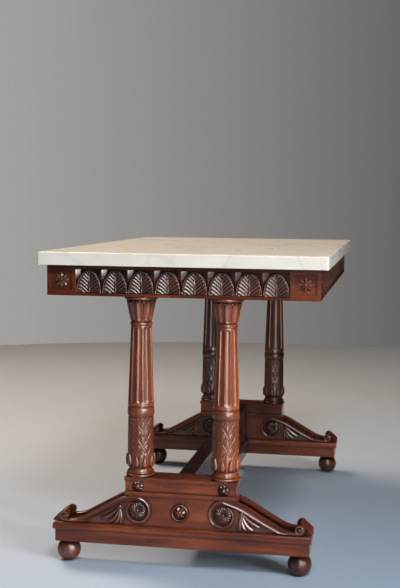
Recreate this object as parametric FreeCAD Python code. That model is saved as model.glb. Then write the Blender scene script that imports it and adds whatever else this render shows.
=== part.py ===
import FreeCAD, Part
import math
import os

# Marble-topped centre table, in mm. X runs along the short ends, Y along the length, Z up.
# The origin is on the floor under the middle of the slab. The front end faces -Y.

# Slab
table_height = 740.0
slab_width = 668.0
slab_length = 1100.0
slab_thickness = 30.0
slab_edge_radius = 4.0
slab_overhang = 18.0

# Frieze frame
frieze_height = 71.0
rail_thickness = 22.0
corner_block_side = 68.0
rail_tenon_length = 24.0
rail_tenon_thickness = 8.0
rail_tenon_shoulder = 13.5
sunk_panel_side_margin = 8.0
sunk_panel_edge_margin = 12.5
sunk_panel_depth = 3.0

# Carved leaf band, let into each rail
band_foot_margin = 7.0
band_head_margin = 9.0
band_recess = 6.0
band_ground = 2.5
leaf_pitch = 62.0
leaf_gap = 1.5
leaf_border = 4.0
leaf_rib = 4.0
leaf_pocket_depth = 2.0

# Carved rosettes
rosette_petals = 8
rosette_waist = 0.62
rosette_button = 0.3
rosette_button_rise = 1.5
corner_rosette_radius = 16.0
corner_rosette_thickness = 4.5
centre_patera_radius = 20.0
centre_patera_thickness = 5.0
die_patera_radius = 12.0
die_patera_thickness = 4.0
die_patera_margin = 0.5

# Volute roundels
volute_radius = 30.0
volute_ring_width = 5.0
volute_hub_radius = 18.0
volute_thickness = 5.0
volute_sink = 2.5
volute_foot_margin = 6.0
volute_head_margin = 5.5

# Bearers inside the frieze frame
bearer_width = 80.0
bearer_thickness = 45.0
bearer_tenon_length = 20.0
bearer_tenon_width = 24.0
bearer_tenon_height = 25.0
middle_bearer_width = 45.0
middle_bearer_height = 50.0
middle_tenon_length = 9.0
middle_tenon_width = 25.0
middle_tenon_height = 30.0

# Columns, turned; each ring gives its height and its radii
column_spacing = 202.0
head_tenon_radius = 12.0
head_tenon_wall = 6.0
head_tenon_cover = 7.0
foot_tenon_radius = 15.0
foot_tenon_length = 55.0
base_step_height = 3.0
base_step_radius = 31.0
torus_height = 10.0
torus_radius = 33.0
neck_height = 10.0
neck_radius = 28.0
cup_height = 31.0
cup_foot_radius = 31.5
cup_belly_radius = 34.5
cup_rim_radius = 31.5
drum_height = 85.0
drum_foot_radius = 31.0
drum_head_radius = 30.0
groove_height = 4.0
groove_radius = 28.5
band_ring_height = 20.0
band_ring_radius = 31.0
shaft_foot_radius = 30.5
shaft_head_radius = 24.0
astragal_height = 12.0
astragal_radius = 25.5
bell_height = 47.0
bell_foot_radius = 24.0
bell_waist_radius = 29.5
bell_rim_radius = 34.0
abacus_neck_height = 2.0
abacus_neck_radius = 35.0
abacus_height = 7.0
abacus_radius = 39.0

# Flutes of the shaft
flute_count = 12
flute_foot_radius = 5.6
flute_head_radius = 4.4
flute_depth = 2.6
flute_foot_margin = 10.0
flute_head_margin = 4.0

# Trestle: ball feet, plank, moulded board, block and die
ball_radius = 28.0
ball_flat_radius = 5.3
foot_inset = 24.0
spigot_radius = 8.0
spigot_cover = 8.0
plank_length = 600.0
plank_depth = 68.0
plank_thickness = 30.0
board_overhang = 5.0
board_thickness = 18.0
board_top_radius = 9.0
board_foot_radius = 3.0
block_depth = 62.0
die_depth = 58.0
die_lip_height = 8.0
die_lip_overhang = 2.0

# Scroll brackets; the ridge runs on round the block as a ledge
bracket_end_inset = 2.0
bracket_drop = 10.0
bracket_straight_share = 0.72
bracket_bend_rise = 12.0
bracket_waist_inset = 42.0
bracket_waist_height = 10.0
bracket_ridge_width = 13.0
bracket_ridge_height = 9.0
bracket_ridge_proud = 3.0
bracket_channel_depth = 7.0
bracket_roll_radius = 12.0
bracket_roll_inset = 26.0
bracket_roll_rise = 13.0
bracket_leaf_rise = 23.0

# Stretcher: upright board on a moulded board and a plank
stretcher_width = 38.0
stretcher_drop = 4.5
stretcher_plank_width = 44.0
stretcher_tenon_shoulder = 8.0
stretcher_tenon_rise = 14.0
stretcher_tenon_cover = 6.5
stretcher_tenon_length = 22.0

# Screws
screw_shank_radius = 2.5
screw_head_radius = 5.5
screw_head_height = 3.5
screw_slot_width = 1.2
screw_slot_depth = 1.4
counterbore_room = 1.5
counterbore_sink = 2.5
base_screw_bite = 20.0
block_screw_offset = 26.0
bracket_screw_reach = 59.0
bearer_screw_offset = 79.0
bearer_screw_bite = 11.0
bearer_screw_wood = 34.0
stretcher_screw_reach = 300.0
stretcher_screw_bite = 30.0

# Clearance of a tenon or screw in its hole, on each side
joint_clearance = 0.2

# Sizes that follow
slab_foot = table_height - slab_thickness
frieze_foot = slab_foot - frieze_height
frieze_middle = (frieze_foot + slab_foot) / 2
frame_half_width = slab_width / 2 - slab_overhang
frame_half_length = slab_length / 2 - slab_overhang
opening_half_width = frame_half_width - corner_block_side
opening_half_length = frame_half_length - corner_block_side
corner_x = frame_half_width - corner_block_side / 2
corner_y = frame_half_length - corner_block_side / 2
band_foot = frieze_foot + band_foot_margin
band_height = frieze_height - band_foot_margin - band_head_margin
bearer_outer_y = -frame_half_length + rail_thickness
bearer_middle = frieze_foot + bearer_thickness / 2
head_tenon_length = bearer_thickness - head_tenon_cover
trestle_y = bearer_outer_y + head_tenon_wall + head_tenon_radius
column_x = column_spacing / 2
ball_height = math.sqrt(ball_radius ** 2 - ball_flat_radius ** 2)
plank_foot = 2 * ball_height
spigot_length = plank_thickness - spigot_cover
foot_x = plank_length / 2 - foot_inset
board_foot = plank_foot + plank_thickness
block_foot = board_foot + board_thickness
block_half = column_x + volute_radius
ledge_foot = block_foot + volute_foot_margin + 2 * volute_radius + volute_head_margin
volute_level = block_foot + volute_foot_margin + volute_radius
die_foot = ledge_foot + bracket_ridge_height
lip_foot = die_foot + 2 * (die_patera_radius + die_patera_margin)
column_foot = lip_foot + die_lip_height
bracket_end = plank_length / 2 + board_overhang - bracket_end_inset
counterbore_radius = screw_head_radius + counterbore_room
counterbore_depth = screw_head_height + counterbore_sink
bearer_screw_seat = bearer_outer_y + bearer_screw_wood
bearer_screw_length = screw_head_height + bearer_screw_wood + bearer_screw_bite
bearer_screw_reach = column_x + bearer_screw_offset
bearer_screw_places = (-bearer_screw_reach, 0.0, bearer_screw_reach)
sole_screw_wood = plank_thickness - counterbore_depth + board_thickness
base_screw_length = screw_head_height + sole_screw_wood + base_screw_bite
block_screw_x = column_x - foot_tenon_radius - block_screw_offset
bracket_screw_x = block_half + bracket_screw_reach
base_screw_places = (-bracket_screw_x, -block_screw_x, block_screw_x, bracket_screw_x)
stretcher_screw_length = screw_head_height + sole_screw_wood + stretcher_screw_bite
stretcher_screw_places = (-stretcher_screw_reach, 0.0, stretcher_screw_reach)

same_level = 1e-6
origin = FreeCAD.Vector(0, 0, 0)
x_axis = FreeCAD.Vector(1, 0, 0)
y_axis = FreeCAD.Vector(0, 1, 0)
z_axis = FreeCAD.Vector(0, 0, 1)


def vec(x, y, z):
    return FreeCAD.Vector(x, y, z)


def box(x0, x1, y0, y1, z0, z1):
    return Part.makeBox(x1 - x0, y1 - y0, z1 - z0, vec(x0, y0, z0))


def centred_box(size_x, size_y, z0, z1, x=0.0, y=0.0):
    return box(x - size_x / 2, x + size_x / 2, y - size_y / 2, y + size_y / 2, z0, z1)


def line(a, b):
    return Part.LineSegment(vec(a[0], 0, a[1]), vec(b[0], 0, b[1])).toShape()


def arc(a, middle, b):
    return Part.Arc(vec(a[0], 0, a[1]), vec(middle[0], 0, middle[1]), vec(b[0], 0, b[1])).toShape()


def polyline(points):
    return [line(a, b) for a, b in zip(points, points[1:])]


def upright_prism(edges, y0, y1):
    # Solid between y0 and y1 over a closed outline drawn in X and Z
    face = Part.Face(Part.Wire(edges))
    face.translate(vec(0, y0, 0))
    return face.extrude(vec(0, y1 - y0, 0))


def moved(shape, x=0.0, y=0.0, z=0.0):
    copy = shape.copy()
    copy.translate(vec(x, y, z))
    return copy


def half_turn(shape, y=0.0):
    # Copy turned half round about the upright line at x 0 and the given y
    copy = shape.copy()
    copy.rotate(vec(0, y, 0), z_axis, 180)
    return copy


def quarter_turn(shape):
    copy = shape.copy()
    copy.rotate(origin, z_axis, 90)
    return copy


def facing_front(shape, x, y, z):
    # Copy of a piece made along +Z, laid over so that it faces -Y
    copy = shape.copy()
    copy.rotate(origin, x_axis, 90)
    copy.translate(vec(x, y, z))
    return copy


def edges_at(shape, z):
    return [e for e in shape.Edges if abs(e.BoundBox.ZMin - z) + abs(e.BoundBox.ZMax - z) < same_level]


def running_along_y(edges):
    return [e for e in edges if e.BoundBox.YLength > same_level and e.BoundBox.XLength < same_level]


def save(name, shape):
    shape.exportStep("parts/" + name + ".step")


def save_both_ends(name, shape):
    save(name + "_front", shape)
    save(name + "_rear", half_turn(shape))


def save_all_with_half_turns(name, shapes):
    save(name, Part.makeCompound(shapes + [half_turn(shape) for shape in shapes]))


def lathe(rings, foot):
    # Solid turned about Z from rings of (height, foot radius, belly radius or None, head radius)
    edges = []
    z = foot
    last = (0.0, z)
    for height, foot_radius, belly_radius, head_radius in rings:
        low = (foot_radius, z)
        high = (head_radius, z + height)
        if last != low:
            edges.append(line(last, low))
        if belly_radius:
            edges.append(arc(low, (belly_radius, z + height / 2), high))
        else:
            edges.append(line(low, high))
        last = high
        z += height
    edges.append(line(last, (0.0, z)))
    edges.append(line((0.0, z), (0.0, foot)))
    return Part.Face(Part.Wire(edges)).revolve(origin, z_axis, 360)


def rosette(radius, thickness):
    # Pointed star of petals with a round button, standing on z 0
    points = []
    for i in range(2 * rosette_petals):
        reach = radius if i % 2 == 0 else radius * rosette_waist
        angle = math.pi * i / rosette_petals
        points.append(vec(reach * math.cos(angle), reach * math.sin(angle), 0))
    outline = Part.Face(Part.makePolygon(points + points[:1]))
    star = outline.extrude(vec(0, 0, thickness - rosette_button_rise))
    button = Part.makeCylinder(radius * rosette_button, thickness)
    return star.fuse(button).removeSplitter()


def screw(length):
    # Slotted screw with its head's outer face on z 0 and its point up
    shank = Part.makeCylinder(screw_shank_radius, length - screw_head_height, vec(0, 0, screw_head_height))
    head = Part.makeCylinder(screw_head_radius, screw_head_height)
    slot = centred_box(2 * screw_head_radius, screw_slot_width, 0.0, screw_slot_depth)
    return head.fuse(shank).cut(slot)


def screw_hole(length):
    # Hole for a screw sunk by the counterbore, its mouth on z 0
    sink = Part.makeCylinder(counterbore_radius, counterbore_depth)
    depth = counterbore_sink + length + joint_clearance
    shank = Part.makeCylinder(screw_shank_radius + joint_clearance, depth)
    return sink.fuse(shank)


def make_slab():
    slab = centred_box(slab_width, slab_length, slab_foot, table_height)
    uprights = [e for e in slab.Edges if e.BoundBox.ZLength > same_level]
    slab = slab.makeFillet(slab_edge_radius, uprights)
    save("marble_top", slab.makeFillet(slab_edge_radius, edges_at(slab, table_height)))


# Frieze: rails run between the corner blocks and are tenoned into them
def rail_tenon(half_length, half_depth, clearance):
    # Both tenons of a rail as one bar through its length
    y_middle = -half_depth + (rail_thickness + band_recess) / 2
    length = 2 * (half_length + rail_tenon_length + clearance)
    thickness = rail_tenon_thickness + 2 * clearance
    reach = frieze_height / 2 - rail_tenon_shoulder + clearance
    return centred_box(length, thickness, frieze_middle - reach, frieze_middle + reach, 0.0, y_middle)


def front_rail(half_length, half_depth):
    # Rail with its carved face at y = -half_depth
    y_face = -half_depth
    rail = box(-half_length, half_length, y_face, y_face + rail_thickness, frieze_foot, slab_foot)
    recess = box(-half_length, half_length, y_face, y_face + band_recess, band_foot, band_foot + band_height)
    return rail.cut(recess).fuse(rail_tenon(half_length, half_depth, 0.0))


def leaf_outline(half_width, radius, foot, rib):
    # Half of a pointed arch right of the middle rib, its side struck from the base line
    centre = half_width - radius
    side = centre + math.sqrt(radius ** 2 - foot ** 2)
    head = math.sqrt(radius ** 2 - (rib - centre) ** 2)
    turn = (math.asin(foot / radius) + math.asin(head / radius)) / 2
    middle = (centre + radius * math.cos(turn), radius * math.sin(turn))
    low = (side, foot)
    high = (rib, head)
    return [line((rib, foot), low), arc(low, middle, high), line(high, (rib, foot))]


def leaf(half_width, height):
    # One raised leaf with a border and a middle rib, foot on z 0, back on y 0
    radius = (height ** 2 + half_width ** 2) / (2 * half_width)
    half = upright_prism(leaf_outline(half_width, radius, 0.0, 0.0), -band_recess, 0.0)
    inside = leaf_outline(half_width - leaf_border, radius - leaf_border, leaf_border, leaf_rib / 2)
    half = half.cut(upright_prism(inside, -band_recess, leaf_pocket_depth - band_recess))
    return half.fuse(half.mirror(origin, x_axis)).removeSplitter()


def leaf_band(half_length, half_depth):
    # Carved strip that fills a front rail's recess
    count = round(2 * half_length / leaf_pitch)
    pitch = 2 * half_length / count
    one = leaf((pitch - leaf_gap) / 2, band_height - leaf_gap)
    leaves = [moved(one, x=-half_length + pitch * (i + 0.5)) for i in range(count)]
    ground = box(-half_length, half_length, -band_ground, 0.0, 0.0, band_height)
    return moved(ground.multiFuse(leaves).removeSplitter(), y=band_recess - half_depth, z=band_foot)


def make_frieze_rails():
    end_rail = front_rail(opening_half_width, frame_half_length)
    save_both_ends("end_rail", end_rail.cut([bearer_screw_hole(x) for x in bearer_screw_places]))
    side_rail = quarter_turn(front_rail(opening_half_length, frame_half_width))
    side_rail = side_rail.cut(middle_bearer_bar(joint_clearance))
    save("side_rail_right", side_rail)
    save("side_rail_left", half_turn(side_rail))
    save_both_ends("leaf_band", leaf_band(opening_half_width, frame_half_length))
    side_band = quarter_turn(leaf_band(opening_half_length, frame_half_width))
    save("leaf_band_right", side_band)
    save("leaf_band_left", half_turn(side_band))


def sunk_panel(half_depth, centre):
    # Cutter for a sunk panel in a corner block's face that looks along -Y
    width = corner_block_side - 2 * sunk_panel_side_margin
    foot = frieze_foot + sunk_panel_edge_margin
    head = slab_foot - sunk_panel_edge_margin
    return centred_box(width, 2 * sunk_panel_depth, foot, head, centre, -half_depth)


def make_corner_blocks():
    rail_slots = rail_tenon(opening_half_width, frame_half_length, joint_clearance)
    right_slot = quarter_turn(rail_tenon(opening_half_length, frame_half_width, joint_clearance))
    bearer_slots = bearer_bar(joint_clearance)
    shared = [rail_slots, bearer_slots, right_slot, half_turn(right_slot)]
    for side, x in (("left", -corner_x), ("right", corner_x)):
        block = centred_box(corner_block_side, corner_block_side, frieze_foot, slab_foot, x, -corner_y)
        side_panel = quarter_turn(sunk_panel(frame_half_width, -corner_y))
        if x < 0:
            side_panel = half_turn(side_panel, -corner_y)
        block = block.cut(shared + [sunk_panel(frame_half_length, x), side_panel])
        save("corner_block_front_" + side, block)
        opposite = "right" if side == "left" else "left"
        save("corner_block_rear_" + opposite, half_turn(block))


def make_corner_rosettes():
    one = rosette(corner_rosette_radius, corner_rosette_thickness)
    front_y = sunk_panel_depth - frame_half_length
    side_y = sunk_panel_depth - frame_half_width
    front = [facing_front(one, x, front_y, frieze_middle) for x in (-corner_x, corner_x)]
    side = [quarter_turn(facing_front(one, y, side_y, frieze_middle)) for y in (-corner_y, corner_y)]
    save_all_with_half_turns("corner_rosettes", front + side)


# Bearers: one over each pair of columns, and one under the middle of the slab
def bearer_bar(clearance):
    # Both tenons of the front bearer as one bar through its length, centred on the corner blocks' inner part
    block_inner_y = -frame_half_length + corner_block_side
    length = 2 * (opening_half_width + bearer_tenon_length + clearance)
    width = bearer_tenon_width + 2 * clearance
    reach = bearer_tenon_height / 2 + clearance
    y_middle = (bearer_outer_y + block_inner_y) / 2
    return centred_box(length, width, bearer_middle - reach, bearer_middle + reach, 0.0, y_middle)


def bearer_screw_hole(x):
    # Hole through the front bearer into its rail, with a wide access hole behind the screw's head
    seat = vec(x, bearer_screw_seat, bearer_middle)
    depth = bearer_screw_length - screw_head_height + joint_clearance
    shank = Part.makeCylinder(screw_shank_radius + joint_clearance, depth, seat, -y_axis)
    access = Part.makeCylinder(counterbore_radius, bearer_width - bearer_screw_wood, seat, y_axis)
    return shank.fuse(access)


def make_column_bearers():
    y_middle = bearer_outer_y + bearer_width / 2
    head = frieze_foot + bearer_thickness
    bearer = centred_box(2 * opening_half_width, bearer_width, frieze_foot, head, 0.0, y_middle)
    bearer = bearer.fuse(bearer_bar(0.0)).cut([bearer_screw_hole(x) for x in bearer_screw_places])
    for x in (-column_x, column_x):
        wall = head_tenon_radius + joint_clearance
        hole = Part.makeCylinder(wall, head_tenon_length + joint_clearance, vec(x, trestle_y, frieze_foot))
        bearer = bearer.cut(hole)
    save_both_ends("column_bearer", bearer)


def make_bearer_screws():
    one = screw(bearer_screw_length)
    head_y = bearer_screw_seat + screw_head_height
    front = [facing_front(one, x, head_y, bearer_middle) for x in bearer_screw_places]
    save_all_with_half_turns("bearer_screws", front)


def middle_bearer_bar(clearance):
    # Both tenons of the middle bearer as one bar through its length
    z_middle = slab_foot - middle_bearer_height / 2
    length = 2 * (frame_half_width - rail_thickness + middle_tenon_length + clearance)
    reach = middle_tenon_height / 2 + clearance
    return centred_box(length, middle_tenon_width + 2 * clearance, z_middle - reach, z_middle + reach)


def make_middle_bearer():
    length = 2 * (frame_half_width - rail_thickness)
    bearer = centred_box(length, middle_bearer_width, slab_foot - middle_bearer_height, slab_foot)
    save("middle_bearer", bearer.fuse(middle_bearer_bar(0.0)))


# Columns
def column_rings():
    torus_edge = torus_radius - torus_height / 2
    astragal_edge = astragal_radius - astragal_height / 2
    base = [(base_step_height, base_step_radius, None, base_step_radius),
            (torus_height, torus_edge, torus_radius, torus_edge),
            (neck_height, neck_radius, None, neck_radius),
            (cup_height, cup_foot_radius, cup_belly_radius, cup_rim_radius),
            (drum_height, drum_foot_radius, None, drum_head_radius),
            (groove_height, groove_radius, None, groove_radius),
            (band_ring_height, band_ring_radius, None, band_ring_radius),
            (groove_height, groove_radius, None, groove_radius)]
    capital = [(astragal_height, astragal_edge, astragal_radius, astragal_edge),
               (bell_height, bell_foot_radius, bell_waist_radius, bell_rim_radius),
               (abacus_neck_height, abacus_neck_radius, None, abacus_neck_radius),
               (abacus_height, abacus_radius, None, abacus_radius)]
    shaft_foot = column_foot + sum(ring[0] for ring in base)
    shaft_head = frieze_foot - sum(ring[0] for ring in capital)
    shaft = [(shaft_head - shaft_foot, shaft_foot_radius, None, shaft_head_radius)]
    foot_tenon = [(foot_tenon_length, foot_tenon_radius, None, foot_tenon_radius)]
    head_tenon = [(head_tenon_length, head_tenon_radius, None, head_tenon_radius)]
    return foot_tenon + base + shaft + capital + head_tenon, shaft_foot, shaft_head


def shaft_flutes(shaft_foot, shaft_head):
    # Round-ended hollows down the tapering shaft, spaced evenly about Z
    low = vec(shaft_foot_radius + flute_foot_radius - flute_depth, 0,
              shaft_foot + flute_foot_margin + flute_foot_radius)
    high = vec(shaft_head_radius + flute_head_radius - flute_depth, 0,
               shaft_head - flute_head_margin - flute_head_radius)
    run = high - low
    body = Part.makeCone(flute_foot_radius, flute_head_radius, run.Length, low, run)
    flute = body.fuse([Part.makeSphere(flute_foot_radius, low), Part.makeSphere(flute_head_radius, high)])
    flutes = []
    for i in range(flute_count):
        copy = flute.copy()
        copy.rotate(origin, z_axis, 360 * (i + 0.5) / flute_count - 90)
        flutes.append(copy)
    return flutes


def save_four(name, shape, x):
    # One copy of a piece made about Z at each corner of the two trestles
    save(name + "_front_left", moved(shape, x=-x, y=trestle_y))
    save(name + "_front_right", moved(shape, x=x, y=trestle_y))
    save(name + "_rear_left", moved(shape, x=-x, y=-trestle_y))
    save(name + "_rear_right", moved(shape, x=x, y=-trestle_y))


def make_columns():
    rings, shaft_foot, shaft_head = column_rings()
    column = lathe(rings, column_foot - foot_tenon_length).cut(shaft_flutes(shaft_foot, shaft_head))
    save_four("column", column, column_x)


# Trestle under each pair of columns, made at the front and turned round for the rear
def base_screw_holes():
    one = screw_hole(base_screw_length)
    return [moved(one, x, trestle_y, plank_foot) for x in base_screw_places]


def make_ball_feet():
    ball = Part.makeSphere(ball_radius, vec(0, 0, ball_height))
    ball = ball.common(centred_box(2 * ball_radius, 2 * ball_radius, 0.0, plank_foot))
    spigot = Part.makeCylinder(spigot_radius, spigot_length + ball_height, vec(0, 0, ball_height))
    save_four("ball_foot", ball.fuse(spigot), foot_x)


def foot_plank():
    plank = centred_box(plank_length, plank_depth, plank_foot, board_foot, 0.0, trestle_y)
    wall = spigot_radius + joint_clearance
    depth = spigot_length + joint_clearance
    holes = [Part.makeCylinder(wall, depth, vec(x, trestle_y, plank_foot)) for x in (-foot_x, foot_x)]
    return plank.cut(holes + base_screw_holes())


def foot_board():
    # Board with an ovolo round its top and a small round below
    length = plank_length + 2 * board_overhang
    depth = plank_depth + 2 * board_overhang
    board = centred_box(length, depth, board_foot, block_foot, 0.0, trestle_y)
    board = board.makeFillet(board_top_radius, edges_at(board, block_foot))
    board = board.makeFillet(board_foot_radius, edges_at(board, board_foot))
    return board.cut(base_screw_holes())


def column_foot_holes():
    wall = foot_tenon_radius + joint_clearance
    depth = foot_tenon_length + joint_clearance
    floor = column_foot - depth
    return [Part.makeCylinder(wall, depth, vec(x, trestle_y, floor)) for x in (-column_x, column_x)]


def plain_block():
    # Block with a ledge round its top, before its holes
    block = centred_box(2 * block_half, block_depth, block_foot, die_foot, 0.0, trestle_y)
    ledge_depth = block_depth + 2 * bracket_ridge_proud
    return block.fuse(centred_box(2 * block_half, ledge_depth, ledge_foot, die_foot, 0.0, trestle_y))


def trestle_block():
    return plain_block().cut(column_foot_holes() + base_screw_holes() + [stretcher_bar(joint_clearance)])


def plinth_die():
    die = centred_box(2 * block_half, die_depth, die_foot, column_foot, 0.0, trestle_y)
    lip_width = 2 * (block_half + die_lip_overhang)
    lip_depth = die_depth + 2 * die_lip_overhang
    lip = centred_box(lip_width, lip_depth, lip_foot, column_foot, 0.0, trestle_y)
    return die.fuse(lip).cut(column_foot_holes())


def ridge_curve(drop):
    # Top line of the right bracket, lowered by drop: a straight slope, then an arc that flattens at the waist
    shoulder = (block_half, die_foot - bracket_drop - drop)
    waist = (bracket_end - bracket_waist_inset, block_foot + bracket_waist_height - drop)
    bend_x = block_half + bracket_straight_share * (waist[0] - block_half)
    bend = (bend_x, waist[1] + bracket_bend_rise)
    slope = (bend[1] - shoulder[1]) / (bend[0] - shoulder[0])
    middle_x = (bend[0] + waist[0]) / 2
    middle_z = (bend[1] + waist[1]) / 2 + slope * (waist[0] - bend[0]) / 8
    return shoulder, waist, [line(shoulder, bend), arc(bend, (middle_x, middle_z), waist)]


def scroll_bracket():
    # Right-hand bracket: a body under the curve, two ridges, a channel between them and a rolled end
    half = block_depth / 2
    inner = half - bracket_ridge_width
    proud = half + bracket_ridge_proud
    shoulder, waist, curve = ridge_curve(0.0)
    tail = [waist, (bracket_end, waist[1]), (bracket_end, block_foot), (block_half, block_foot), shoulder]
    body = upright_prism(curve + polyline(tail), trestle_y - half, trestle_y + half)
    under_shoulder, under_waist, under_curve = ridge_curve(bracket_ridge_height)
    band = curve + [line(waist, under_waist)] + under_curve[::-1] + [line(under_shoulder, shoulder)]
    ridge = upright_prism(band, trestle_y - proud, trestle_y + proud)
    floor_shoulder, floor_waist, floor_curve = ridge_curve(bracket_channel_depth)
    sky = [floor_waist, (bracket_end, floor_waist[1]), (bracket_end, die_foot), (block_half, die_foot)]
    sky.append(floor_shoulder)
    channel = upright_prism(floor_curve + polyline(sky), trestle_y - inner, trestle_y + inner)
    roll_x = bracket_end - bracket_roll_inset
    roll_foot = vec(roll_x, trestle_y - proud, block_foot + bracket_roll_rise)
    roll = Part.makeCylinder(bracket_roll_radius, 2 * proud, roll_foot, y_axis)
    low = (roll_x, block_foot)
    end_leaf = polyline([low, (roll_x, block_foot + bracket_leaf_rise), (bracket_end, block_foot), low])
    end_leaf = upright_prism(end_leaf, trestle_y - inner, trestle_y + inner)
    bracket = body.fuse([ridge, roll]).cut(channel).fuse(end_leaf).removeSplitter()
    return bracket.cut(base_screw_holes())


def make_trestles():
    save_both_ends("foot_plank", foot_plank())
    save_both_ends("foot_board", foot_board())
    save_both_ends("trestle_block", trestle_block())
    save_both_ends("plinth_die", plinth_die())
    right = scroll_bracket()
    left = half_turn(right, trestle_y)
    save("scroll_bracket_front_right", right)
    save("scroll_bracket_front_left", left)
    save("scroll_bracket_rear_left", half_turn(right))
    save("scroll_bracket_rear_right", half_turn(left))


def make_base_screws():
    one = screw(base_screw_length)
    front = [moved(one, x, trestle_y, plank_foot + counterbore_sink) for x in base_screw_places]
    save_all_with_half_turns("base_screws", front)


def volute_roundel():
    # Turned roundel with a raised rim, a sunk ring and a hub, standing on z 0
    disc = Part.makeCylinder(volute_radius, volute_thickness)
    floor = vec(0, 0, volute_thickness - volute_sink)
    sink = Part.makeCylinder(volute_radius - volute_ring_width, volute_sink, floor)
    return disc.cut(sink.cut(Part.makeCylinder(volute_hub_radius, volute_thickness)))


def make_roundels():
    block_face = trestle_y - block_depth / 2
    die_face = trestle_y - die_depth / 2
    outer = [facing_front(volute_roundel(), x, block_face, volute_level) for x in (-column_x, column_x)]
    inner = [half_turn(piece, trestle_y) for piece in outer]
    save_all_with_half_turns("volute_roundels", outer + inner)
    centre = rosette(centre_patera_radius, centre_patera_thickness)
    save_all_with_half_turns("centre_paterae", [facing_front(centre, 0.0, block_face, volute_level)])
    small = rosette(die_patera_radius, die_patera_thickness)
    die_level = (die_foot + lip_foot) / 2
    small_pair = [facing_front(small, x, die_face, die_level) for x in (-column_x, column_x)]
    save_all_with_half_turns("die_paterae", small_pair)


# Stretcher, coped at both ends to the trestles
def stretcher_bar(clearance):
    # Both tenons of the upright board as one bar through its length
    foot = block_foot + stretcher_tenon_rise - clearance
    head = die_foot - stretcher_tenon_cover + clearance
    block_face = -trestle_y - block_depth / 2
    length = 2 * (block_face + stretcher_tenon_length + clearance)
    width = stretcher_width - 2 * stretcher_tenon_shoulder + 2 * clearance
    return centred_box(width, length, foot, head)


def coped(shape, ends):
    return shape.cut(ends + [half_turn(end) for end in ends])


def make_stretcher():
    length = 2 * -trestle_y - plank_depth
    hole = screw_hole(stretcher_screw_length)
    holes = [moved(hole, y=y, z=plank_foot) for y in stretcher_screw_places]
    plank = centred_box(stretcher_plank_width, length, plank_foot, board_foot)
    save("stretcher_plank", plank.cut(holes))
    moulding = centred_box(stretcher_plank_width + 2 * board_overhang, length, board_foot, block_foot)
    moulding = moulding.makeFillet(board_top_radius, running_along_y(edges_at(moulding, block_foot)))
    moulding = moulding.makeFillet(board_foot_radius, running_along_y(edges_at(moulding, board_foot)))
    save("stretcher_moulding", coped(moulding, [foot_board()]).cut(holes))
    board = centred_box(stretcher_width, 2 * -trestle_y, block_foot, column_foot - stretcher_drop)
    board = coped(board, [plain_block(), plinth_die()]).Solids
    board = max(board, key=lambda solid: solid.Volume).fuse(stretcher_bar(0.0))
    save("stretcher_board", board.cut(holes))
    one = screw(stretcher_screw_length)
    screws = [moved(one, y=y, z=plank_foot + counterbore_sink) for y in stretcher_screw_places]
    save("stretcher_screws", Part.makeCompound(screws))


os.makedirs("parts", exist_ok=True)
make_slab()
make_frieze_rails()
make_corner_blocks()
make_corner_rosettes()
make_column_bearers()
make_bearer_screws()
make_middle_bearer()
make_columns()
make_ball_feet()
make_trestles()
make_base_screws()
make_roundels()
make_stretcher()
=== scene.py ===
from math import acos, cos, hypot, pi, radians, sin, sqrt
import bmesh
import bpy
from mathutils import Matrix, Vector


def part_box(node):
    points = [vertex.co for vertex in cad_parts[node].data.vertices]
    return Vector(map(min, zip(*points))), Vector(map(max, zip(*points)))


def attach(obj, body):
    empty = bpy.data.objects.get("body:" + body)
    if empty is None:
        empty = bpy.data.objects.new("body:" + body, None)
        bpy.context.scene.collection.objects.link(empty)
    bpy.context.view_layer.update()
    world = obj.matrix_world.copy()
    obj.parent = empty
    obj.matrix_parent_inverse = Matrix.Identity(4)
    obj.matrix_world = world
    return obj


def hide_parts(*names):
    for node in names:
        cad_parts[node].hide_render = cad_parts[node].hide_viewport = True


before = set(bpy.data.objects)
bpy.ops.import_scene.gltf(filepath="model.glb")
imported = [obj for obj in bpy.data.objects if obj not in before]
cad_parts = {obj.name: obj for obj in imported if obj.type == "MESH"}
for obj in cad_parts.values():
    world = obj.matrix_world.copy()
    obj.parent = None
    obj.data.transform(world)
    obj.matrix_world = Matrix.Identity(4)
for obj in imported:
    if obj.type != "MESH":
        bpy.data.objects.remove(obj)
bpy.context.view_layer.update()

mm = 0.001
weldGap = 0.00002  # points closer than this become one
scene = bpy.context.scene
world = scene.world or bpy.data.worlds.new("studio")
scene.world = world
scene.view_settings.view_transform = "Standard"
print("frame loaded:", len(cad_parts), "nodes")


# shared tools

def spread(low, high, count):
    return [low + (high - low) * i / count for i in range(count + 1)]


def clamp(value, low=0.0, high=1.0):
    return min(high, max(low, value))


def hump(t):
    return sqrt(max(0.0, 1.0 - t * t))  # half circle over t from -1 to 1


def polar(radius, angle, height):
    return (radius * cos(angle), radius * sin(angle), height)


def centreOf(node):
    low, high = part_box(node)
    return [(a + b) / 2 for a, b in zip(low, high)]


def addObject(name, data):
    made = bpy.data.objects.new(name, data)
    scene.collection.objects.link(made)
    return made


def newPiece(name, points, faces, recess=None):
    # points are in mm; recess is 0 on high ground, 1 in deep cuts and more on the darkest spots: it sets how
    # much shade is painted into the wood's colour there, and how much gloss is taken off
    mesh = bpy.data.meshes.new(name)
    mesh.from_pydata([[c * mm for c in point] for point in points], [], faces)
    if recess:
        layer = mesh.attributes.new("recess", "FLOAT", "POINT")
        layer.data.foreach_set("value", recess)
    return addObject(name, mesh)


def carvedSheet(name, acrossValues, alongValues, place):
    # place(a, b) gives a point in mm and how much shade is painted there, 0 to 1
    cuts = [place(a, b) for b in alongValues for a in acrossValues]
    wide = len(acrossValues)
    corners = [j * wide + i for j in range(len(alongValues) - 1) for i in range(wide - 1)]
    faces = [(k, k + 1, k + wide + 1, k + wide) for k in corners]
    return newPiece(name, [point for point, depth in cuts], faces, [clamp(depth) for point, depth in cuts])


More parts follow.
